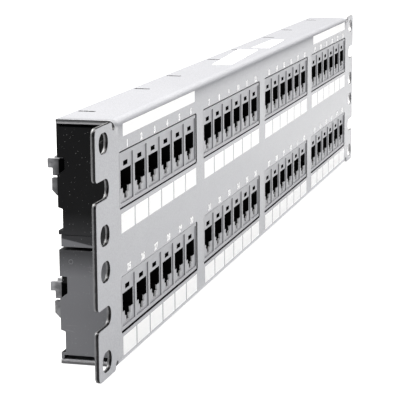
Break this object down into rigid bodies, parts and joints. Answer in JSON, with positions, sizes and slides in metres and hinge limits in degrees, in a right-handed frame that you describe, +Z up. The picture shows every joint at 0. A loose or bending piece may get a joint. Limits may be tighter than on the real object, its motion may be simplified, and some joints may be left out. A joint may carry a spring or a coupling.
{
  "type": "punch down patch panel",
  "caption": "Rack-mount punch down patch panel: folded grey steel front with two rows of modular sockets, black rear housings and punch down blocks behind.",
  "frame": {"origin": "middle of the plane in which the backs of the ears bear on the rack rails, at half width and half height", "axes": "+X along the panel to its right end, seen from the front, +Y to the rear, +Z up"},
  "size_m": [0.4826, 0.0261, 0.0883],
  "materials": {
    "panel_paint": "satin",
    "grey_plastic": "satin",
    "black_plastic": "satin",
    "board_laminate": "gloss",
    "clear_grey_plastic": "satin",
    "white_paper": "matte"
  },
  "bodies": {
    "root": {"panel": "panel_paint", "row_strip": "black_plastic", "jack_block_1": "grey_plastic", "contact_carriers_1": "black_plastic", "module_frame_1": "black_plastic", "circuit_board_1": "board_laminate", "idc_block_1": "clear_grey_plastic", "jack_block_2": "grey_plastic", "contact_carriers_2": "black_plastic", "module_frame_2": "black_plastic", "circuit_board_2": "board_laminate", "idc_block_2": "clear_grey_plastic", "jack_block_3": "grey_plastic", "contact_carriers_3": "black_plastic", "module_frame_3": "black_plastic", "circuit_board_3": "board_laminate", "idc_block_3": "clear_grey_plastic", "jack_block_4": "grey_plastic", "contact_carriers_4": "black_plastic", "module_frame_4": "black_plastic", "circuit_board_4": "board_laminate", "idc_block_4": "clear_grey_plastic", "jack_block_5": "grey_plastic", "contact_carriers_5": "black_plastic", "module_frame_5": "black_plastic", "circuit_board_5": "board_laminate", "idc_block_5": "clear_grey_plastic", "jack_block_6": "grey_plastic", "contact_carriers_6": "black_plastic", "module_frame_6": "black_plastic", "circuit_board_6": "board_laminate", "idc_block_6": "clear_grey_plastic", "jack_block_7": "grey_plastic", "contact_carriers_7": "black_plastic", "module_frame_7": "black_plastic", "circuit_board_7": "board_laminate", "idc_block_7": "clear_grey_plastic", "jack_block_8": "grey_plastic", "contact_carriers_8": "black_plastic", "module_frame_8": "black_plastic", "circuit_board_8": "board_laminate", "idc_block_8": "clear_grey_plastic", "sticker_long": "white_paper", "sticker_short": "white_paper"}
  },
  "joints": []
}
